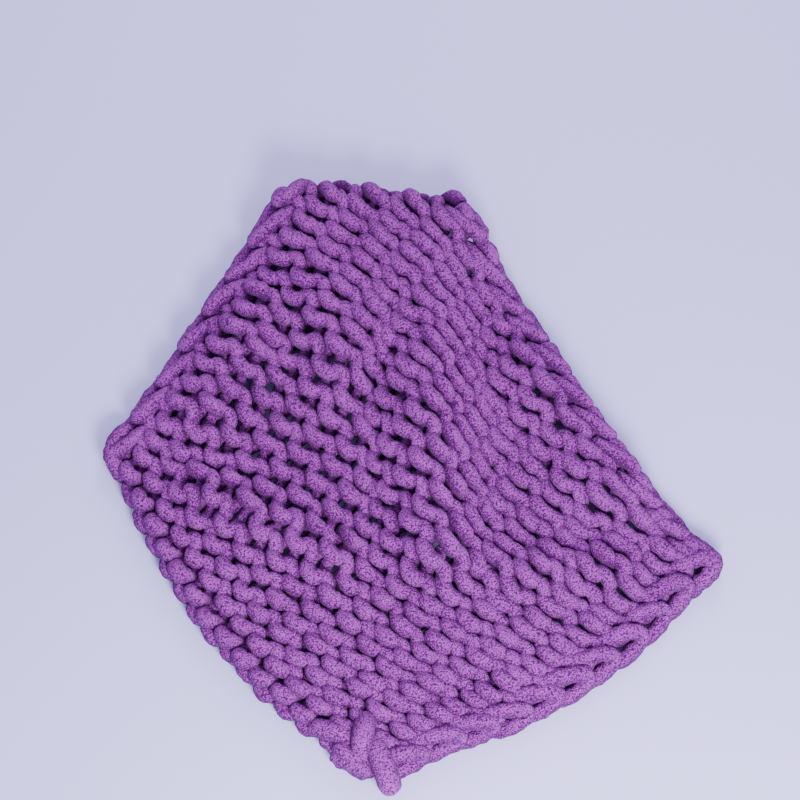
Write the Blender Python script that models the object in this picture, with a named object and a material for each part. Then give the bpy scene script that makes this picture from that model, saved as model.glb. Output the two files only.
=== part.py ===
"""A chunky hand-knit blanket laid out on a flat surface, one corner towards the front.

The cloth is one thick sheet of jumbo yarn in plain knitting with its purl side up. Its courses run
from the right selvedge to the left one, and its rows follow each other from the front corner to the
right corner. The cloth lies gathered at its front edges and pulled long at its back ones. The far
corner is turned under along a soft fold, a long ridge and some low swells run across the sheet, and
the rest lies flat. Metres, +Z up, the origin on the surface under the middle.
"""

import bmesh
import bpy
import numpy as np

NAME = "chunky_knit_blanket"
NODE = "blanket"

# The knitting
STITCHES = 15
ROWS = 22
STITCH_PITCH = 0.069
ROW_PITCH = 0.039
THICKNESS = 0.046
WIDTH = ROWS * ROW_PITCH
LENGTH = STITCHES * STITCH_PITCH
ROWS_PER_LINK = 2

# Where the sheet's other corners come to lie, in plan from its front corner, before the fold
RIGHT_CORNER = np.array([0.610, 0.430])
FAR_CORNER = np.array([-0.110, 1.450])
LEFT_CORNER = np.array([-0.565, 0.590])

# The line that the far corner is turned under at: its distance from the front corner, and its angle
FOLD_FROM_CORNER = 1.135
FOLD_TILT = np.radians(3.0)
FOLD_RADIUS = 0.0245
FLAP_SLOPE = 0.150

# Outward bow of each edge in metres, and where along the edge it is widest (0 to 1)
EDGE_BOWS = [
    {"edge": "right_front", "bow": 0.070, "peak": 0.45},
    {"edge": "left_front", "bow": 0.075, "peak": 0.42},
    {"edge": "right_back", "bow": -0.050, "peak": 0.40},
    {"edge": "left_back", "bow": -0.015, "peak": 0.30},
]
BOW_REACH = 0.35

# Ridges of cloth lifted off the surface: plan ends in metres from the front corner, height, half width
RIDGES = [
    {"name": "long ridge", "x0": 0.010, "y0": 1.00, "x1": 0.070, "y1": 0.42, "height": 0.060, "half": 0.130},
    {"name": "right swell", "x0": 0.240, "y0": 0.80, "x1": 0.400, "y1": 0.58, "height": 0.034, "half": 0.120},
    {"name": "left swell", "x0": -0.300, "y0": 0.90, "x1": -0.400, "y1": 0.68, "height": 0.034, "half": 0.120},
    {"name": "cross roll left", "x0": -0.380, "y0": 0.50, "x1": -0.130, "y1": 0.40, "height": 0.026, "half": 0.085},
    {"name": "cross roll right", "x0": 0.210, "y0": 0.38, "x1": 0.420, "y1": 0.40, "height": 0.024, "half": 0.085},
]
MERGE_POWER = 4.0

# The raised stitches: between two rows, loop heads and feet stand up by turns along a wave, and a
# groove runs along the middle of each row
RIDGE_DROP = 0.0040
STITCH_LIFT = 0.0050
ROW_GROOVE = 0.0130
ROW_WAVE = 0.12
COLUMNS_PER_STITCH = 4
LINES_PER_ROW = 2

# The rim and the knot of yarn ends at the front corner
RIM_ROUND = 0.016
RIM_INSET = 0.005
RIM_REACH = 0.014
RIM_HEIGHT_SHARE = 0.72
UNDERSIDE_INSET = 0.0065
LINK_SCALLOP = 0.008
KNOT_RADIUS = 0.060
KNOT_LIFT = 0.014
KNOT_REACH = 0.030

COLOUR = (0.30, 0.115, 0.42, 1.0)
ROUGHNESS = 0.95


def window(value):
    """A smooth fall from 1 at 0 to exactly 0 at 1 and beyond."""
    reach = np.clip(value, 0.0, 1.0)
    return (1.0 - reach * reach * (3.0 - 2.0 * reach)) ** 1.2


def bow_shape(along, peak):
    """0 at both ends of an edge and 1 at its peak."""
    along = np.clip(along, 0.0, 1.0)
    power = np.log(0.5) / np.log(peak)
    return np.sin(np.pi * along**power)


def corner_plan(u, v):
    """Plan position between the four corners, from 0 to 1 across the rows and along a course."""
    x = RIGHT_CORNER[0] * u * (1 - v) + LEFT_CORNER[0] * v * (1 - u) + FAR_CORNER[0] * u * v
    y = RIGHT_CORNER[1] * u * (1 - v) + LEFT_CORNER[1] * v * (1 - u) + FAR_CORNER[1] * u * v
    return x, y


def laid_flat(across, along):
    """Plan position of a point of the sheet, measured from the front corner, before the fold."""
    u = across / WIDTH
    v = along / LENGTH
    bows = {row["edge"]: row for row in EDGE_BOWS}

    def bow(edge, run, depth):
        return bows[edge]["bow"] * bow_shape(run, bows[edge]["peak"]) * window(depth / BOW_REACH)

    across = across + bow("right_back", v, 1 - u) - bow("left_front", v, u)
    along = along + bow("left_back", u, 1 - v) - bow("right_front", u, v)
    knot = window(np.hypot(across, along) / (3.0 * KNOT_RADIUS)) * KNOT_REACH * np.sqrt(0.5)
    return corner_plan((across - knot) / WIDTH, (along - knot) / LENGTH)


def beyond_fold(x, y):
    """Signed distance past the fold line, positive on the side that is turned under."""
    return (y - FOLD_FROM_CORNER) * np.cos(FOLD_TILT) + x * np.sin(FOLD_TILT)


def flap_distance(x, y):
    """Plan distance from the triangle that the turned-under corner fills, 0 over it."""
    fold_run = np.array([np.cos(FOLD_TILT), -np.sin(FOLD_TILT)])
    fold_depth = np.array([np.sin(FOLD_TILT), np.cos(FOLD_TILT)])
    room = beyond_fold(*FAR_CORNER) + beyond_fold(x, y)
    sideways = (x - FAR_CORNER[0]) * fold_run[0] + (y - FAR_CORNER[1]) * fold_run[1]
    distances = []
    for corner, side in ((LEFT_CORNER, -1.0), (RIGHT_CORNER, 1.0)):
        edge = corner - FAR_CORNER
        slope = np.arctan2(side * (edge @ fold_run), -(edge @ fold_depth))
        outside = (side * sideways - room * np.tan(slope)) * np.cos(slope)
        distances.append(np.maximum(outside, 0.0))
    return np.hypot(*distances)


def merged(first, second):
    """The higher of two lifts with a soft join, exactly 0 where both are."""
    return (first**MERGE_POWER + second**MERGE_POWER) ** (1.0 / MERGE_POWER)


def ridge_lift(x, y):
    """Height of the cloth over the surface from its ridges, exactly 0 away from them."""
    lift = np.zeros_like(x)
    for row in RIDGES:
        run = np.array([row["x1"] - row["x0"], row["y1"] - row["y0"]])
        length = np.hypot(*run)
        dx, dy = x - row["x0"], y - row["y0"]
        share = np.clip((dx * run[0] + dy * run[1]) / length**2, 0.0, 1.0)
        away = np.hypot(dx - share * run[0], dy - share * run[1])
        lift = merged(lift, row["height"] * window(away / row["half"]))
    return lift


def placed(across, along, offset):
    """World position of a point of the sheet at a distance above its middle layer."""
    x, y = laid_flat(across, along)
    beyond = beyond_fold(x, y)
    over = np.clip(beyond, 0.0, np.pi * FOLD_RADIUS) / FOLD_RADIUS
    back = np.maximum(beyond - np.pi * FOLD_RADIUS, 0.0)
    forward = np.where(beyond > 0.0, (FOLD_RADIUS + offset) * np.sin(over) - back - beyond, 0.0)
    lift = 2 * FOLD_RADIUS * window(flap_distance(x, y) / FLAP_SLOPE)
    lift = merged(lift, ridge_lift(x, y))
    upper = THICKNESS / 2 + lift + offset
    bend = THICKNESS / 2 + FOLD_RADIUS + (FOLD_RADIUS + offset) * np.cos(over)
    z = np.where(beyond > 0.0, bend, upper)
    return np.stack([x + forward * np.sin(FOLD_TILT), y + forward * np.cos(FOLD_TILT), z], axis=-1)


def border_distance(across, along):
    """Distance from the nearest edge of the sheet, in its own flat measure."""
    sides = [across, WIDTH - across, along, LENGTH - along]
    return np.min(sides, axis=0)


def top_points():
    """The knitted face: a line of raised stitches between every two rows, and a groove in each row."""
    lines = np.arange(ROWS * LINES_PER_ROW + 1)
    columns = np.arange(STITCHES * COLUMNS_PER_STITCH + 1)
    line, column = np.meshgrid(lines, columns, indexing="ij")
    stitch = column / COLUMNS_PER_STITCH
    wave = ROW_WAVE * np.cos(2 * np.pi * stitch)
    across = (line / LINES_PER_ROW - wave) * ROW_PITCH
    across = np.clip(across, RIM_INSET, WIDTH - RIM_INSET)
    along = np.clip(stitch * STITCH_PITCH, RIM_INSET, LENGTH - RIM_INSET)
    between_rows = line % LINES_PER_ROW == 0
    raised = STITCH_LIFT * np.cos(4 * np.pi * stitch) - RIDGE_DROP
    relief = np.where(between_rows, raised, -ROW_GROOVE)
    x, y = laid_flat(across, along)
    relief = relief * window(beyond_fold(x, y) / (np.pi * FOLD_RADIUS))
    relief = relief + KNOT_LIFT * window(np.hypot(across, along) / KNOT_RADIUS)
    edge = np.clip(border_distance(across, along) / RIM_ROUND, 0.0, 1.0)
    offset = THICKNESS / 2 * (RIM_HEIGHT_SHARE + (1 - RIM_HEIGHT_SHARE) * edge) + relief * edge
    return across, along, offset


def rim_ring(across, along):
    """The outermost ring, at mid height, pushed out link by link along the selvedges."""
    link = np.cos(2 * np.pi * across / (ROWS_PER_LINK * ROW_PITCH))
    bump = np.cos(2 * np.pi * along / STITCH_PITCH)
    out_across = np.where(across <= 0, -1.0, np.where(across >= WIDTH, 1.0, 0.0))
    out_along = np.where(along <= 0, -1.0, np.where(along >= LENGTH, 1.0, 0.0))
    corner = np.where((out_across != 0) & (out_along != 0), 0.5, 1.0)
    across = across + out_across * corner * (RIM_REACH - 0.5 * LINK_SCALLOP * bump)
    along = along + out_along * corner * (RIM_REACH - 0.5 * LINK_SCALLOP * link)
    return across, along


def padded_grid(values):
    """The grid with each border line repeated once outside it."""
    return np.pad(values, 1, mode="edge")


def grid_sheet(points):
    """A Blender grid whose vertices are moved to the given points, in the grid's own order."""
    rows, columns = points.shape[:2]
    sheet = bmesh.new()
    bmesh.ops.create_grid(sheet, x_segments=columns - 1, y_segments=rows - 1, size=1.0)
    sheet.verts.ensure_lookup_table()
    for vertex, place in zip(sheet.verts, points.reshape(-1, 3)):
        vertex.co = place
    return sheet


def joined_sheet(top, underside):
    """One closed body: both sheets in one mesh, with their borders bridged."""
    body = bmesh.new()
    bmesh.ops.reverse_faces(underside, faces=underside.faces)
    for sheet in (top, underside):
        holder = bpy.data.meshes.new("sheet")
        sheet.to_mesh(holder)
        sheet.free()
        body.from_mesh(holder)
        bpy.data.meshes.remove(holder)
    border = [edge for edge in body.edges if edge.is_boundary]
    bmesh.ops.bridge_loops(body, edges=border)
    bmesh.ops.triangulate(body, faces=body.faces)
    bmesh.ops.recalc_face_normals(body, faces=body.faces)
    return body


def top_sheet():
    """The knitted face inside a ring that stands out around it at mid height."""
    across, along, offset = top_points()
    border_across, border_along = padded_grid(across), padded_grid(along)
    border_across[0, :], border_across[-1, :] = 0.0, WIDTH
    border_along[:, 0], border_along[:, -1] = 0.0, LENGTH
    ring_across, ring_along = rim_ring(border_across, border_along)
    ring_offset = np.zeros(ring_across.shape)
    inner = (slice(1, -1), slice(1, -1))
    ring_across[inner], ring_along[inner], ring_offset[inner] = across, along, offset
    return grid_sheet(placed(ring_across, ring_along, ring_offset))


def underside_sheet():
    """The plain underside, a little inside the rim."""
    across, along = np.meshgrid(
        np.linspace(UNDERSIDE_INSET, WIDTH - UNDERSIDE_INSET, ROWS + 1),
        np.linspace(UNDERSIDE_INSET, LENGTH - UNDERSIDE_INSET, 2 * STITCHES + 1),
        indexing="ij",
    )
    return grid_sheet(placed(across, along, np.full(across.shape, -THICKNESS / 2)))


def yarn_material():
    """Soft purple chenille."""
    material = bpy.data.materials.new("chenille yarn")
    material.use_nodes = True
    shader = material.node_tree.nodes["Principled BSDF"]
    shader.inputs["Base Color"].default_value = COLOUR
    shader.inputs["Roughness"].default_value = ROUGHNESS
    shader.inputs["Metallic"].default_value = 0.0
    material.diffuse_color = COLOUR
    return material


def main():
    for old in list(bpy.data.objects):
        bpy.data.objects.remove(old, do_unlink=True)
    collection = bpy.data.collections.new(NAME)
    bpy.context.scene.collection.children.link(collection)

    mesh = bpy.data.meshes.new(NODE)
    body = joined_sheet(top_sheet(), underside_sheet())
    body.to_mesh(mesh)
    body.free()
    places = np.empty(len(mesh.vertices) * 3)
    mesh.vertices.foreach_get("co", places)
    places = places.reshape(-1, 3)
    middle = (places.min(axis=0) + places.max(axis=0)) / 2
    middle[2] = places[:, 2].min()
    mesh.vertices.foreach_set("co", (places - middle).ravel())
    mesh.shade_smooth()
    mesh.materials.append(yarn_material())
    collection.objects.link(bpy.data.objects.new(NODE, mesh))


main()
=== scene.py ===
"""Looks of a chunky hand-knit blanket: every course of jumbo chenille as one continuous yarn.

The file is laid out as an add-on and run as a script. The yarns follow the sheet that the frame's
node holds, with the same gathered front, fold, ridges and swells, and stand in its place.
"""

import bpy
import numpy as np
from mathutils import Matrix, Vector


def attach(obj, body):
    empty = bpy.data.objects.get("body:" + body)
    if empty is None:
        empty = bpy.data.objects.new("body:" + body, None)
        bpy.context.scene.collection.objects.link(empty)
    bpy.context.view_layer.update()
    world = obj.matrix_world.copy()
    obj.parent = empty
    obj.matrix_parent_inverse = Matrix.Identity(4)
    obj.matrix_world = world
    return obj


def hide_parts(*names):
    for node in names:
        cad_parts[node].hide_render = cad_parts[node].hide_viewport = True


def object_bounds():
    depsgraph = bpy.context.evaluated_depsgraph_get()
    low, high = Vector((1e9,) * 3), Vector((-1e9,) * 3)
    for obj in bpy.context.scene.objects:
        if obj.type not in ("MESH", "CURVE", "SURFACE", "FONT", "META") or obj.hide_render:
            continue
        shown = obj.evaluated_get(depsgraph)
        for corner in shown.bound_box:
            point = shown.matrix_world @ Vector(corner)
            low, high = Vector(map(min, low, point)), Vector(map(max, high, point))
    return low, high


bl_info = {
    "name": "Chunky Knit Blanket",
    "version": (1, 0, 0),
    "blender": (4, 5, 0),
    "location": "View3D > Sidebar > Knit",
    "description": "Knits a jumbo chenille blanket course by course on its laid-out sheet",
    "category": "Add Mesh",
}

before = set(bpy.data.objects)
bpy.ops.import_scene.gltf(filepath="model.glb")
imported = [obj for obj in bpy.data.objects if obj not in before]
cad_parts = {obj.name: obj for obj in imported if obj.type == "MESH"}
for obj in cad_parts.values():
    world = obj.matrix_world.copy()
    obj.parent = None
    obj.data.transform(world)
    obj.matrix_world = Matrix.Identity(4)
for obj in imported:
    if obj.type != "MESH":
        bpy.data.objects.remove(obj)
CAD_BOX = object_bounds()
NODE = "blanket"
BODY = "root"

# Where the sheet's other corners come to lie, in plan from its front corner, before the fold
RIGHT_CORNER = np.array([0.610, 0.430])
FAR_CORNER = np.array([-0.110, 1.450])
LEFT_CORNER = np.array([-0.565, 0.590])

# Outward bow of each edge in metres, and where along the edge it is widest (0 to 1)
EDGE_BOWS = {
    "right_front": {"bow": 0.070, "peak": 0.45},
    "left_front": {"bow": 0.075, "peak": 0.42},
    "right_back": {"bow": -0.040, "peak": 0.32},
    "left_back": {"bow": 0.012, "peak": 0.60},
}

# Ridges of cloth lifted off the surface: plan ends in metres from the front corner, height, half width
RIDGES = [
    {"name": "long ridge", "from": (0.010, 1.00), "to": (0.070, 0.42), "height": 0.060, "half": 0.130},
    {"name": "right swell", "from": (0.240, 0.80), "to": (0.400, 0.58), "height": 0.034, "half": 0.120},
    {"name": "left swell", "from": (-0.300, 0.90), "to": (-0.400, 0.68), "height": 0.034, "half": 0.120},
    {"name": "cross roll left", "from": (-0.380, 0.50), "to": (-0.130, 0.40), "height": 0.026, "half": 0.085},
    {"name": "cross roll right", "from": (0.210, 0.38), "to": (0.420, 0.40), "height": 0.024, "half": 0.085},
]
MERGE_POWER = 4.0
KNOT_RADIUS = 0.060
KNOT_REACH = 0.030
RIM_REACH = 0.014

# One link of a chain edge, in metres: towards its tip, away from the sheet, and up. The inner leg
# comes first and lies on top, then the tip, then the outer leg, which runs back low down.
LINK_ROUTE = np.array([
    (-0.048, -0.024, -0.014),
    (-0.030, -0.022, 0.000),
    (-0.006, -0.016, 0.012),
    (0.020, -0.008, 0.019),
    (0.040, 0.001, 0.019),
    (0.051, 0.010, 0.009),
    (0.042, 0.018, -0.004),
    (0.015, 0.021, -0.010),
    (-0.015, 0.020, -0.013),
    (-0.042, 0.012, -0.016),
])
LINK_PITCH = 0.078

# How much fuller the yarn is drawn in the chain edges than in the courses
CHAIN_FULLNESS = 1.12


class KnitSettings(bpy.types.PropertyGroup):
    """Sizes of the knitting."""

    stitches: bpy.props.IntProperty(name="Stitches", description="Stitches in a course", default=15, min=1)
    rows: bpy.props.IntProperty(name="Rows", description="Courses in the blanket", default=22, min=1)
    stitch_pitch: bpy.props.FloatProperty(
        name="Stitch width", description="Width of one stitch along its course", default=0.069, unit="LENGTH"
    )
    row_pitch: bpy.props.FloatProperty(
        name="Row height", description="Distance from a course to the next", default=0.039, unit="LENGTH"
    )
    yarn_radius: bpy.props.FloatProperty(
        name="Yarn radius", description="Half the thickness of the yarn", default=0.0143, unit="LENGTH"
    )
    loop_height: bpy.props.FloatProperty(
        name="Loop height", description="How far a loop reaches to each side of its course", default=0.0285,
        unit="LENGTH",
    )
    loop_swell: bpy.props.FloatProperty(
        name="Loop swell", description="How far a loop bulges past its legs", default=0.0098, unit="LENGTH"
    )
    loop_lean: bpy.props.FloatProperty(
        name="Loop lean", description="How far a loop's ends lean across the course", default=-0.0010,
        unit="LENGTH",
    )
    loop_depth: bpy.props.FloatProperty(
        name="Loop depth", description="How far heads and feet stand in front of the legs", default=0.0140,
        unit="LENGTH",
    )
    foot_share: bpy.props.FloatProperty(
        name="Foot share", description="How much fuller a loop's foot is than its head", default=0.24
    )
    loop_skew: bpy.props.FloatProperty(
        name="Loop skew", description="How far the highest point of a loop lies towards its near end",
        default=0.35, subtype="ANGLE",
    )
    pinch: bpy.props.FloatProperty(
        name="Pinch", description="How much thinner the yarn is in the legs than in heads and feet",
        default=0.11,
    )
    swing: bpy.props.FloatProperty(
        name="Swing", description="How far the courses swing to both sides of the long ridge", default=0.055,
        unit="LENGTH",
    )
    unevenness: bpy.props.FloatProperty(
        name="Unevenness", description="Spread of the hand-pulled loops", default=0.0024, unit="LENGTH"
    )
    seed: bpy.props.IntProperty(name="Seed", description="Start of the random draws", default=11)


class LaySettings(bpy.types.PropertyGroup):
    """How the sheet lies."""

    fold_from_corner: bpy.props.FloatProperty(
        name="Fold distance", description="From the front corner to the fold", default=1.135, unit="LENGTH"
    )
    fold_tilt: bpy.props.FloatProperty(
        name="Fold tilt", description="Angle of the fold from straight across", default=np.radians(3.0),
        subtype="ANGLE",
    )
    fold_radius: bpy.props.FloatProperty(
        name="Fold radius", description="Radius of the turned-under bend", default=0.0245, unit="LENGTH"
    )
    flap_slope: bpy.props.FloatProperty(
        name="Flap slope", description="Length of the slope off the turned-under corner", default=0.150,
        unit="LENGTH",
    )
    middle_height: bpy.props.FloatProperty(
        name="Middle height", description="Height of the sheet's middle layer", default=0.0238, unit="LENGTH"
    )


class FinishSettings(bpy.types.PropertyGroup):
    """Colours of the yarn and the stage."""

    yarn: bpy.props.FloatVectorProperty(
        name="Yarn", description="Colour of the chenille pile", subtype="COLOR", size=3,
        default=(0.39, 0.061, 0.475),
    )
    # The dark end of the yarn's colour: the darker gaps between the tufts, and also painted shade on the
    # yarn's flanks and undersides
    yarn_deep_and_shade: bpy.props.FloatVectorProperty(
        name="Deep pile", description="Colour between the tufts", subtype="COLOR", size=3,
        default=(0.070, 0.003, 0.10),
    )
    floor: bpy.props.FloatVectorProperty(
        name="Floor", description="Colour of the stage", subtype="COLOR", size=3, default=(0.58, 0.535, 0.99)
    )


def settings():
    """The scene's knitting, laying and finishing settings."""
    scene = bpy.context.scene
    return scene.blanket_knit, scene.blanket_lay, scene.blanket_finish


def window(value):
    """A smooth fall from 1 at 0 to exactly 0 at 1: the 1.2th power of one minus a smooth step."""
    reach = np.clip(value, 0.0, 1.0)
    return (1.0 - reach * reach * (3.0 - 2.0 * reach)) ** 1.2


def bow_shape(run, peak):
    """Half a sine wave, with its run raised to the power that puts the top at the peak."""
    return np.sin(np.pi * np.clip(run, 0.0, 1.0) ** (np.log(0.5) / np.log(peak)))


def merged(first, second):
    """The higher of two lifts with a soft join: the fourth root of the sum of fourth powers."""
    return (first**MERGE_POWER + second**MERGE_POWER) ** (1.0 / MERGE_POWER)


class Sheet:
    """The laid-out sheet: maps (across the rows, along a course, height over the middle) to a place."""

    def __init__(self, knit, lay):
        self.lay = lay
        self.swing = knit.swing
        self.width = knit.rows * knit.row_pitch
        self.length = knit.stitches * knit.stitch_pitch
        self.shift = np.zeros(3)
        self.shift = self.centred()

    def centred(self):
        """The move that puts the outline's middle at the middle of the frame's box."""
        run = np.linspace(0.0, 1.0, 400)
        low, high = np.full(run.shape, -RIM_REACH), np.full(run.shape, RIM_REACH)
        across = np.concatenate([run * self.width, run * self.width, low, high + self.width])
        along = np.concatenate([low, high + self.length, run * self.length, run * self.length])
        places = self.place(across, along, np.zeros(across.shape))[:, :2]
        box = np.array(CAD_BOX)
        return np.append(box[:, :2].mean(axis=0) - (places.min(axis=0) + places.max(axis=0)) / 2, 0.0)

    def swung(self, u, v):
        """How far a course is moved across: a half sine less half a full sine along it, by a squared sine.

        It is highest at two thirds of the course and fades to nothing at all four edges.
        """
        run = np.pi * np.clip(v, 0.0, 1.0)
        across = np.sin(np.pi * np.clip(u, 0.0, 1.0)) ** 2
        return self.swing * (np.sin(run) - 0.5 * np.sin(2 * run)) * across

    def plan(self, across, along):
        """Flat position from the front corner: swung courses, bowed edges and a blend of corners.

        A bow fades evenly from its own edge to the opposite one, so the courses keep an even spacing.
        """
        across = across + self.swung(across / self.width, along / self.length)
        u, v = across / self.width, along / self.length

        def bow(edge, run, share):
            row = EDGE_BOWS[edge]
            return row["bow"] * bow_shape(run, row["peak"]) * share

        across = across + bow("right_back", v, u) - bow("left_front", v, 1 - u)
        along = along + bow("left_back", u, v) - bow("right_front", u, 1 - v)
        knot = window(np.hypot(across, along) / (3.0 * KNOT_RADIUS)) * KNOT_REACH * np.sqrt(0.5)
        u, v = (across - knot) / self.width, (along - knot) / self.length
        x = RIGHT_CORNER[0] * u * (1 - v) + LEFT_CORNER[0] * v * (1 - u) + FAR_CORNER[0] * u * v
        y = RIGHT_CORNER[1] * u * (1 - v) + LEFT_CORNER[1] * v * (1 - u) + FAR_CORNER[1] * u * v
        return x, y

    def beyond_fold(self, x, y):
        """Signed distance past the fold line."""
        tilt = self.lay.fold_tilt
        return (y - self.lay.fold_from_corner) * np.cos(tilt) + x * np.sin(tilt)

    def flap_distance(self, x, y):
        """Plan distance from the triangle that the turned-under corner fills, 0 over it."""
        tilt = self.lay.fold_tilt
        fold_run = np.array([np.cos(tilt), -np.sin(tilt)])
        fold_depth = np.array([np.sin(tilt), np.cos(tilt)])
        room = self.beyond_fold(*FAR_CORNER) + self.beyond_fold(x, y)
        sideways = (x - FAR_CORNER[0]) * fold_run[0] + (y - FAR_CORNER[1]) * fold_run[1]
        distances = []
        for corner, side in ((LEFT_CORNER, -1.0), (RIGHT_CORNER, 1.0)):
            edge = corner - FAR_CORNER
            slope = np.arctan2(side * (edge @ fold_run), -(edge @ fold_depth))
            outside = (side * sideways - room * np.tan(slope)) * np.cos(slope)
            distances.append(np.maximum(outside, 0.0))
        return np.hypot(*distances)

    def lift(self, x, y):
        """Height of the cloth over the surface: its ridges, and the slope over the turned-under corner."""
        lay = self.lay
        lift = 2 * lay.fold_radius * window(self.flap_distance(x, y) / lay.flap_slope)
        for row in RIDGES:
            run = np.subtract(row["to"], row["from"])
            dx, dy = x - row["from"][0], y - row["from"][1]
            share = np.clip((dx * run[0] + dy * run[1]) / (run @ run), 0.0, 1.0)
            away = np.hypot(dx - share * run[0], dy - share * run[1])
            lift = merged(lift, row["height"] * window(away / row["half"]))
        return lift

    def place(self, across, along, offset):
        """World places: flat with its lift, round the fold's bend as an arc, and back under it."""
        lay = self.lay
        x, y = self.plan(across, along)
        beyond = self.beyond_fold(x, y)
        over = np.clip(beyond, 0.0, np.pi * lay.fold_radius) / lay.fold_radius
        back = np.maximum(beyond - np.pi * lay.fold_radius, 0.0)
        forward = np.where(beyond > 0.0, (lay.fold_radius + offset) * np.sin(over) - back - beyond, 0.0)
        upper = lay.middle_height + self.lift(x, y) + offset
        bend = lay.middle_height + lay.fold_radius + (lay.fold_radius + offset) * np.cos(over)
        z = np.where(beyond > 0.0, bend, upper)
        tilt = lay.fold_tilt
        return np.stack([x + forward * np.sin(tilt), y + forward * np.cos(tilt), z], axis=-1) + self.shift

    def laid(self, across, along, offset):
        """A path on the sheet, and the sheet's outward direction at each of its points.

        The direction is the cross product of the sheet's two slopes, and the offset runs along it.
        """
        step = 0.001
        level = np.zeros(np.shape(across))
        slope_across = self.place(across + step, along, level) - self.place(across - step, along, level)
        slope_along = self.place(across, along + step, level) - self.place(across, along - step, level)
        facing = np.cross(slope_across, slope_along)
        facing /= np.linalg.norm(facing, axis=1, keepdims=True)
        return self.place(across, along, level) + offset[:, None] * facing, facing


def smooth_draw(rng, run, spacing, spread):
    """Random values every so far along a run, joined by smooth steps between neighbours."""
    place = run / spacing
    first = np.floor(place).astype(int)
    draws = rng.standard_normal(first.max() - first.min() + 2) * spread
    share = place - first
    share = share * share * (3 - 2 * share)
    low = draws[first - first.min()]
    return low + (draws[first - first.min() + 1] - low) * share


def smooth_route(points, per_span):
    """A curve through the points: each span is the cubic that keeps its neighbours' slope at both ends."""
    padded = np.vstack([2 * points[0] - points[1], points, 2 * points[-1] - points[-2]])
    before, start, end, after = padded[:-3], padded[1:-2], padded[2:-1], padded[3:]
    share = np.linspace(0, 1, per_span, endpoint=False)[:, None, None]
    curve = start + 0.5 * share * (
        (end - before)
        + share * ((2 * before - 5 * start + 4 * end - after) + share * (3 * (start - end) + after - before))
    )
    return np.vstack([curve.transpose(1, 0, 2).reshape(-1, points.shape[1]), points[-1:]])


class Yarn:
    """Collects tubes of yarn as arrays and puts them into one mesh object."""

    SIDES = 20
    TUFT = 0.0010
    SLOW = 0.045

    def __init__(self, seed):
        self.rng = np.random.default_rng(seed)
        self.points = []
        self.faces = []
        self.crowns = []
        self.count = 0

    def tufts(self, rings):
        """Random heights on the grid of rings and sides, each averaged a little with its neighbours."""
        height = self.rng.standard_normal((rings, self.SIDES))
        height = height + 0.45 * (np.roll(height, 1, 1) + np.roll(height, -1, 1))
        height = height + 0.45 * (np.roll(height, 1, 0) + np.roll(height, -1, 0))
        return height / height.std()

    def add(self, path, facing, radius):
        """A tube: on each ring, a circle across the path's tangent with tufts on its radius, round ends."""
        rings = len(path)
        tangent = np.gradient(path, axis=0)
        step = np.linalg.norm(tangent, axis=1, keepdims=True)
        tangent = tangent / step
        side = np.cross(tangent, facing)
        side /= np.linalg.norm(side, axis=1, keepdims=True)
        up = np.cross(side, tangent)
        length = np.cumsum(step[:, 0]) - step[0, 0]
        from_end = np.clip(np.minimum(length, length[-1] - length) / np.max(radius), 0.0, 1.0)
        size = radius * (1 + smooth_draw(self.rng, np.arange(rings), 14.0, self.SLOW))
        size = size[:, None] + self.TUFT * self.tufts(rings)
        size = size * np.sqrt(np.clip(1 - (1 - from_end) ** 2, 0.01, 1.0))[:, None]
        angle = np.arange(self.SIDES) * 2 * np.pi / self.SIDES
        ring = np.cos(angle)[None, :, None] * side[:, None, :] + np.sin(angle)[None, :, None] * up[:, None, :]
        points = path[:, None, :] + size[:, :, None] * ring
        index = np.arange(rings * self.SIDES).reshape(rings, self.SIDES) + self.count
        here, ahead = index[:-1], index[1:]
        quads = np.stack([here, ahead, np.roll(ahead, -1, 1), np.roll(here, -1, 1)], axis=-1)
        self.points.append(points.reshape(-1, 3))
        self.faces.append(quads.reshape(-1, 4))
        # The crown, the sine of the angle round the tube, is the mask for the painted shade on the yarn's
        # flanks and undersides
        self.crowns.append(np.tile(np.sin(angle), rings))
        self.count += rings * self.SIDES
        self.cap(path[0], index[0])
        self.cap(path[-1], index[-1][::-1])

    def cap(self, centre, ring):
        """Closes a tube's end with a fan of triangles, each kept as a quad that repeats its last corner."""
        self.points.append(centre[None, :])
        self.crowns.append(np.zeros(1))
        middle = np.full(len(ring), self.count)
        self.faces.append(np.stack([ring, np.roll(ring, -1), middle, middle], axis=-1))
        self.count += 1

    def made(self, name, floor=0.0006):
        """The mesh object, with everything pressed flat where it would sink into the surface."""
        points = np.concatenate(self.points)
        faces = np.concatenate(self.faces)
        points[:, 2] = np.maximum(points[:, 2], floor)
        is_quad = faces[:, 2] != faces[:, 3]
        kept = np.ones(faces.shape, bool)
        kept[:, 3] = is_quad
        corners = faces[kept]
        starts = np.concatenate([[0], np.cumsum(kept.sum(axis=1))[:-1]])
        mesh = bpy.data.meshes.new(name)
        mesh.vertices.add(len(points))
        mesh.vertices.foreach_set("co", points.ravel())
        mesh.loops.add(len(corners))
        mesh.loops.foreach_set("vertex_index", corners.astype(np.int32))
        mesh.polygons.add(len(starts))
        mesh.polygons.foreach_set("loop_start", starts.astype(np.int32))
        mesh.update(calc_edges=True)
        crown = mesh.attributes.new("crown", "FLOAT", "POINT")
        crown.data.foreach_set("value", np.concatenate(self.crowns))
        mesh.shade_smooth()
        mesh.materials.append(yarn_material())
        piece = bpy.data.objects.new(name, mesh)
        bpy.context.scene.collection.objects.link(piece)
        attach(piece, BODY)
        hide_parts(NODE)
        return piece


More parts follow.
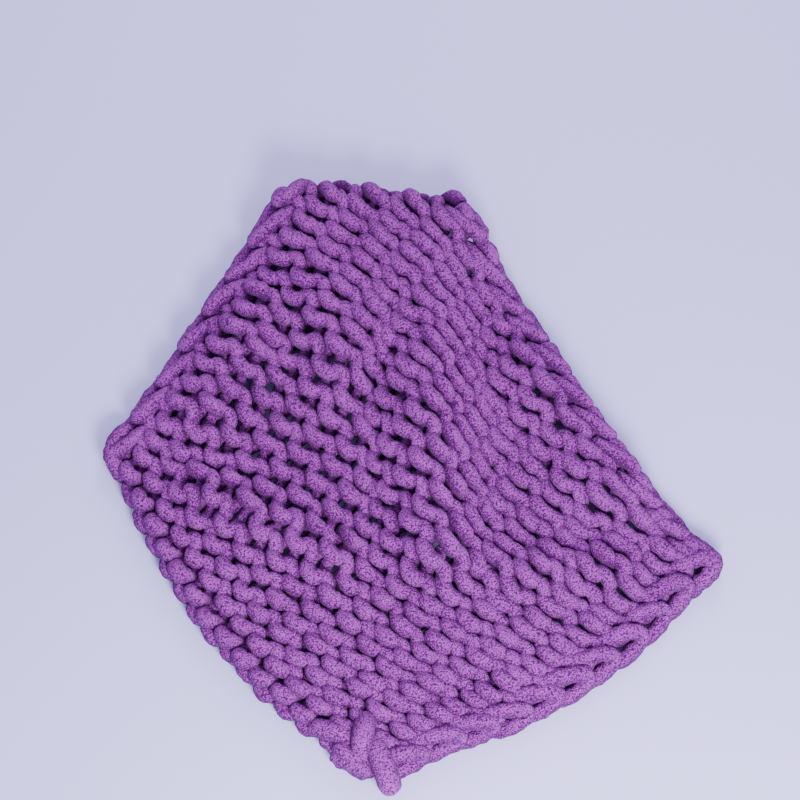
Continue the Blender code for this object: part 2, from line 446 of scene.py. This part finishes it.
class Wire:
    """A number socket with operators, so that shader maths reads as an expression."""

    def __init__(self, tree, socket):
        self.tree = tree
        self.socket = socket

    def maths(self, operation, *values):
        """A maths node of two numbers, each a wire or a constant."""
        node = self.tree.nodes.new("ShaderNodeMath")
        node.operation = operation
        for entry, value in zip(node.inputs, values):
            if isinstance(value, Wire):
                self.tree.links.new(value.socket, entry)
            else:
                entry.default_value = value
        return Wire(self.tree, node.outputs[0])

    def __add__(self, other):
        return self.maths("ADD", self, other)

    def __mul__(self, other):
        return self.maths("MULTIPLY", self, other)

    def __sub__(self, other):
        return self.maths("SUBTRACT", self, other)

    def __rsub__(self, other):
        return self.maths("SUBTRACT", other, self)

    __radd__ = __add__
    __rmul__ = __mul__


class Shader:
    """A material's node tree, with one method that adds any node."""

    def __init__(self, name):
        self.material = bpy.data.materials.new(name)
        self.material.use_nodes = True
        self.tree = self.material.node_tree
        self.surface = self.tree.nodes["Principled BSDF"]

    def node(self, kind, settings=None, **entries):
        """A node of this kind with its settings made first, then its entries set or linked."""
        made = self.tree.nodes.new(kind)
        for name, value in (settings or {}).items():
            setattr(made, name, value)
        for name, value in entries.items():
            self.put(made.inputs[name.replace("_", " ")], value)
        return made

    def put(self, entry, value):
        """Sets a socket, or links it where the value is one."""
        if isinstance(value, Wire):
            self.tree.links.new(value.socket, entry)
        elif isinstance(value, bpy.types.NodeSocket):
            self.tree.links.new(value, entry)
        else:
            entry.default_value = value

    def number(self, socket):
        """The socket as a wire."""
        return Wire(self.tree, socket)


def chenille(finish):
    """Soft chenille: tufts with darker gaps between them, raised pile, and a pale sheen.

    The crown is 1 on the side of the yarn that faces out of the sheet, 0 at its flanks and -1 behind,
    and the pile is painted darker down there: painted shade for the crevices between neighbouring loops.
    """
    shader = Shader("chenille yarn")
    where = shader.node("ShaderNodeTexCoord").outputs["Object"]
    tuft = shader.node("ShaderNodeTexVoronoi", {"feature": "F1"}, Vector=where, Scale=290.0, Randomness=1.0)
    fine = shader.node("ShaderNodeTexNoise", Vector=where, Scale=420.0, Detail=2.0, Roughness=0.6)
    broad = shader.node("ShaderNodeTexNoise", Vector=where, Scale=12.0, Detail=2.0, Roughness=0.5)
    pit = shader.number(tuft.outputs["Distance"])
    grain = shader.number(fine.outputs["Fac"]) - 0.5
    cast = shader.number(broad.outputs["Fac"]) - 0.5
    crown = shader.number(shader.node("ShaderNodeAttribute", {"attribute_name": "crown"}).outputs["Fac"])
    # The crown term is painted shade: it darkens the yarn's flanks and the side behind towards the deep
    # colour, as if in the crevices' shade
    shade = pit * 1.2 + grain * 1.0 + cast * 0.35 + (1.0 - crown) * 0.55
    ramp = shader.node("ShaderNodeValToRGB", Fac=shade)
    ramp.color_ramp.elements[0].position = 0.36
    ramp.color_ramp.elements[0].color = (*finish.yarn, 1.0)
    ramp.color_ramp.elements[1].position = 1.0
    ramp.color_ramp.elements[1].color = (*finish.yarn_deep_and_shade, 1.0)
    height = grain - pit * 1.2
    bump = shader.node("ShaderNodeBump", Strength=1.0, Distance=0.0026, Height=height)
    shader.put(shader.surface.inputs["Base Color"], ramp.outputs["Color"])
    shader.put(shader.surface.inputs["Normal"], bump.outputs["Normal"])
    shader.surface.inputs["Roughness"].default_value = 0.95
    shader.surface.inputs["Specular IOR Level"].default_value = 0.05
    shader.surface.inputs["Sheen Weight"].default_value = 0.14
    shader.surface.inputs["Sheen Roughness"].default_value = 0.5
    shader.surface.inputs["Sheen Tint"].default_value = (0.90, 0.50, 1.0, 1.0)
    return shader.material


def yarn_material():
    """The one chenille material that every piece of yarn shares."""
    return bpy.data.materials.get("chenille yarn") or chenille(settings()[2])


def course(sheet, knit, row, yarn):
    """One course of loops.

    Along the course a loop advances steadily and swells at twice its turn. Across it follows a cosine,
    with a lean at twice the turn. Its height is a cosine at twice the turn with its crests flattened, so
    that heads and feet face up and the legs between them lie behind, and a foot is fuller than a head.
    The skew moves the highest point towards the near end, which is the round end on the next loop.
    """
    rings = 46
    hidden = 0.06
    stitch = np.linspace(hidden, knit.stitches - hidden, knit.stitches * rings)
    turn = 2 * np.pi * stitch
    fuller = 1 + knit.foot_share * np.cos(turn)
    along = stitch * knit.stitch_pitch + knit.loop_swell * np.sin(2 * turn) * fuller
    across = (row + 0.5) * knit.row_pitch - knit.loop_height * np.cos(turn)
    across += knit.loop_lean * np.sin(2 * turn)
    front = np.cos(2 * turn + knit.loop_skew)
    offset = knit.loop_depth * front * (1.35 - 0.35 * front**2) * fuller
    along += smooth_draw(yarn.rng, stitch, 0.5, knit.unevenness)
    across += smooth_draw(yarn.rng, stitch, 0.5, knit.unevenness)
    offset += smooth_draw(yarn.rng, stitch, 0.5, 0.6 * knit.unevenness)
    radius = knit.yarn_radius * (1 + 0.25 * knit.foot_share * np.cos(turn))
    radius *= 1 + knit.pinch * front
    yarn.add(*sheet.laid(across, along, offset), radius)


def chain(sheet, knit, edge, count, pitch, towards, yarn, size=1.0):
    """A chain edge: one hairpin link after another, each tip lying on the next link's legs.

    The edge gives, for a distance along it and one outward, the sheet's across and along.
    """
    route = smooth_route(LINK_ROUTE * size, 5)
    for number in range(count):
        wander = yarn.rng.standard_normal(3) * knit.unevenness * 0.7
        run = (number + 0.5) * pitch + towards * (route[:, 0] * pitch / LINK_PITCH / size + wander[0])
        across, along = edge(run, route[:, 1] + wander[1])
        path, facing = sheet.laid(across, along, route[:, 2] + wander[2])
        yarn.add(path, facing, np.full(len(path), knit.yarn_radius * CHAIN_FULLNESS * size))


class BLANKET_OT_courses(bpy.types.Operator):
    """Knit all the courses, a few to each piece"""

    bl_idname = "blanket.courses"
    bl_label = "Knit courses"

    def execute(self, context):
        knit, lay, _ = settings()
        sheet = Sheet(knit, lay)
        for number, rows in enumerate(np.array_split(np.arange(knit.rows), 4), start=1):
            yarn = Yarn(knit.seed + number)
            for row in rows:
                course(sheet, knit, row, yarn)
            yarn.made(f"courses_{number}")
        return {"FINISHED"}


class BLANKET_OT_selvedges(bpy.types.Operator):
    """Chain links along both selvedges, each over two rows"""

    bl_idname = "blanket.selvedges"
    bl_label = "Chain selvedges"

    INSET = 0.012

    def execute(self, context):
        knit, lay, _ = settings()
        sheet = Sheet(knit, lay)
        pitch = 2 * knit.row_pitch

        def right(run, out):
            return run, self.INSET - out

        def left(run, out):
            return run, sheet.length - self.INSET + out

        for name, edge, towards, seed in (("right", right, 1.0, 20), ("left", left, -1.0, 21)):
            yarn = Yarn(knit.seed + seed)
            chain(sheet, knit, edge, knit.rows // 2, pitch, towards, yarn)
            yarn.made(f"{name}_selvedge")
        return {"FINISHED"}


class BLANKET_OT_end_edges(bpy.types.Operator):
    """The cast-on strand at the left front edge and the bound-off chain at the right back edge"""

    bl_idname = "blanket.end_edges"
    bl_label = "Cast on and bind off"

    BIND_OFF_SIZE = 0.92
    CAST_ON_OUT = 0.011
    CAST_ON_WAVE = 0.009
    CAST_ON_SWELL = 0.006
    CAST_ON_DROP = 0.008
    CAST_ON_DIP = 0.003
    CAST_ON_FULLNESS = 1.06

    # The strand that wraps the right and the left corner, in metres from the corner: across, along, up
    CORNER_ROUTE = np.array([
        (-0.046, -0.006, -0.010),
        (-0.026, -0.013, 0.006),
        (0.000, -0.013, 0.012),
        (0.015, -0.002, 0.012),
        (0.018, 0.020, 0.009),
        (0.013, 0.044, 0.002),
        (0.006, 0.062, -0.010),
    ])

    def execute(self, context):
        knit, lay, _ = settings()
        sheet = Sheet(knit, lay)

        def back(run, out):
            return sheet.width + out, run

        yarn = Yarn(knit.seed + 30)
        chain(sheet, knit, back, knit.stitches, knit.stitch_pitch, -1.0, yarn, self.BIND_OFF_SIZE)
        for across, along, side in ((sheet.width, 0.0, 1.0), (0.0, sheet.length, -1.0)):
            route = smooth_route(self.CORNER_ROUTE, 6)
            path, facing = sheet.laid(across + side * route[:, 0], along + side * route[:, 1], route[:, 2])
            yarn.add(path, facing, np.full(len(path), CHAIN_FULLNESS * knit.yarn_radius))
        yarn.made("bound_off_edge")

        yarn = Yarn(knit.seed + 31)
        stitch = np.linspace(0.0, knit.stitches, knit.stitches * 36)
        turn = 2 * np.pi * stitch
        along = stitch * knit.stitch_pitch + self.CAST_ON_SWELL * np.sin(2 * turn)
        across = self.CAST_ON_WAVE * np.cos(turn) - self.CAST_ON_OUT
        across += smooth_draw(yarn.rng, stitch, 0.5, knit.unevenness)
        offset = -self.CAST_ON_DROP - self.CAST_ON_DIP * np.cos(turn)
        path, facing = sheet.laid(across, along, offset)
        yarn.add(path, facing, np.full(len(path), self.CAST_ON_FULLNESS * knit.yarn_radius))
        yarn.made("cast_on_edge")
        return {"FINISHED"}


class BLANKET_OT_corner_knot(bpy.types.Operator):
    """Fat loops that hook the yarn's ends over the front corner"""

    bl_idname = "blanket.corner_knot"
    bl_label = "Corner knot"

    SWEEP = np.radians(112.0)
    SINK = 0.004
    FACING_TILT = 0.7

    # Plan place from the front corner, heading from +X, half length, rise and yarn radius
    LOBES = [
        {"x": -0.030, "y": 0.062, "heading": 85.0, "half": 0.032, "rise": 0.040, "radius": 0.0220},
        {"x": 0.008, "y": 0.016, "heading": -66.0, "half": 0.044, "rise": 0.030, "radius": 0.0225},
        {"x": -0.088, "y": 0.066, "heading": 165.0, "half": 0.036, "rise": 0.026, "radius": 0.0200},
        {"x": -0.050, "y": 0.012, "heading": 160.0, "half": 0.030, "rise": 0.010, "radius": 0.0185},
    ]

    def execute(self, context):
        knit, lay, _ = settings()
        sheet = Sheet(knit, lay)
        corner = sheet.place(np.zeros(1), np.zeros(1), np.zeros(1))[0]
        yarn = Yarn(knit.seed + 40)
        sweep = np.linspace(-self.SWEEP, self.SWEEP, 26)
        for lobe in self.LOBES:
            heading = np.radians(lobe["heading"])
            run = lobe["half"] * np.sin(sweep)
            path = np.stack([
                corner[0] + lobe["x"] + run * np.cos(heading),
                corner[1] + lobe["y"] + run * np.sin(heading),
                corner[2] + lobe["rise"] * np.cos(sweep) - self.SINK,
            ], axis=-1)
            level = np.sin(sweep) * self.FACING_TILT
            facing = np.stack([level * np.cos(heading), level * np.sin(heading), np.cos(sweep)], axis=-1)
            yarn.add(path, facing, np.full(len(path), lobe["radius"]))
        yarn.made("corner_knot")
        return {"FINISHED"}


def aimed(thing, place, target):
    """Puts a camera or light in its place, with its -Z looking at the target."""
    direction = Vector(target) - Vector(place)
    thing.location = place
    thing.rotation_euler = direction.to_track_quat("-Z", "Y").to_euler()
    bpy.context.scene.collection.objects.link(thing)


class BLANKET_OT_stage(bpy.types.Operator):
    """The pale floor, the soft lights and the camera"""

    bl_idname = "blanket.stage"
    bl_label = "Stage"

    ELEVATION = np.radians(68.0)
    TURN = np.radians(3.9)
    DISTANCE = 4.75
    LENS = 106.0
    AIM = (-0.036, 0.172, 0.0)
    FLOOR_HALF = 8.0
    LIGHTS = [
        {"name": "key", "place": (0.7, -2.0, 1.7), "size": 1.1, "power": 135.0},
        {"name": "back", "place": (0.3, 2.7, 2.2), "size": 1.8, "power": 60.0},
    ]

    def execute(self, context):
        finish = settings()[2]
        half = self.FLOOR_HALF
        mesh = bpy.data.meshes.new("floor")
        corners = [(-half, -half, 0), (half, -half, 0), (half, half, 0), (-half, half, 0)]
        mesh.from_pydata(corners, [], [(0, 1, 2, 3)])
        shader = Shader("pale floor")
        shader.surface.inputs["Base Color"].default_value = (*finish.floor, 1.0)
        shader.surface.inputs["Roughness"].default_value = 0.8
        mesh.materials.append(shader.material)
        floor = bpy.data.objects.new("floor", mesh)
        context.scene.collection.objects.link(floor)

        world = bpy.data.worlds.new("studio")
        world.use_nodes = True
        background = world.node_tree.nodes["Background"]
        background.inputs["Color"].default_value = (0.80, 0.81, 1.0, 1.0)
        background.inputs["Strength"].default_value = 1.12
        context.scene.world = world
        for row in self.LIGHTS:
            data = bpy.data.lights.new(row["name"], "AREA")
            data.shape = "DISK"
            data.size = row["size"]
            data.energy = row["power"]
            aimed(bpy.data.objects.new(row["name"], data), row["place"], (0.0, 0.0, 0.0))

        camera = bpy.data.objects.new("camera", bpy.data.cameras.new("camera"))
        camera.data.lens = self.LENS
        camera.data.clip_end = 50.0
        level = np.cos(self.ELEVATION)
        back = np.array([level * np.sin(self.TURN), -level * np.cos(self.TURN), np.sin(self.ELEVATION)])
        aimed(camera, np.array(self.AIM) + back * self.DISTANCE, self.AIM)
        context.scene.camera = camera
        return {"FINISHED"}


STEPS = [
    BLANKET_OT_courses,
    BLANKET_OT_selvedges,
    BLANKET_OT_end_edges,
    BLANKET_OT_corner_knot,
    BLANKET_OT_stage,
]


class BLANKET_PT_panel(bpy.types.Panel):
    """Lists the steps that make the blanket"""

    bl_idname = "BLANKET_PT_panel"
    bl_label = "Chunky Knit Blanket"
    bl_space_type = "VIEW_3D"
    bl_region_type = "UI"
    bl_category = "Knit"

    def draw(self, context):
        for step in STEPS:
            self.layout.operator(step.bl_idname)


CLASSES = [KnitSettings, LaySettings, FinishSettings, *STEPS, BLANKET_PT_panel]


def register():
    for item in CLASSES:
        bpy.utils.register_class(item)
    bpy.types.Scene.blanket_knit = bpy.props.PointerProperty(type=KnitSettings)
    bpy.types.Scene.blanket_lay = bpy.props.PointerProperty(type=LaySettings)
    bpy.types.Scene.blanket_finish = bpy.props.PointerProperty(type=FinishSettings)


def unregister():
    del bpy.types.Scene.blanket_finish
    del bpy.types.Scene.blanket_lay
    del bpy.types.Scene.blanket_knit
    for item in reversed(CLASSES):
        bpy.utils.unregister_class(item)


def main():
    register()
    bpy.ops.blanket.courses()
    bpy.ops.blanket.selvedges()
    bpy.ops.blanket.end_edges()
    bpy.ops.blanket.corner_knot()
    bpy.ops.blanket.stage()


if __name__ == "__main__":
    main()
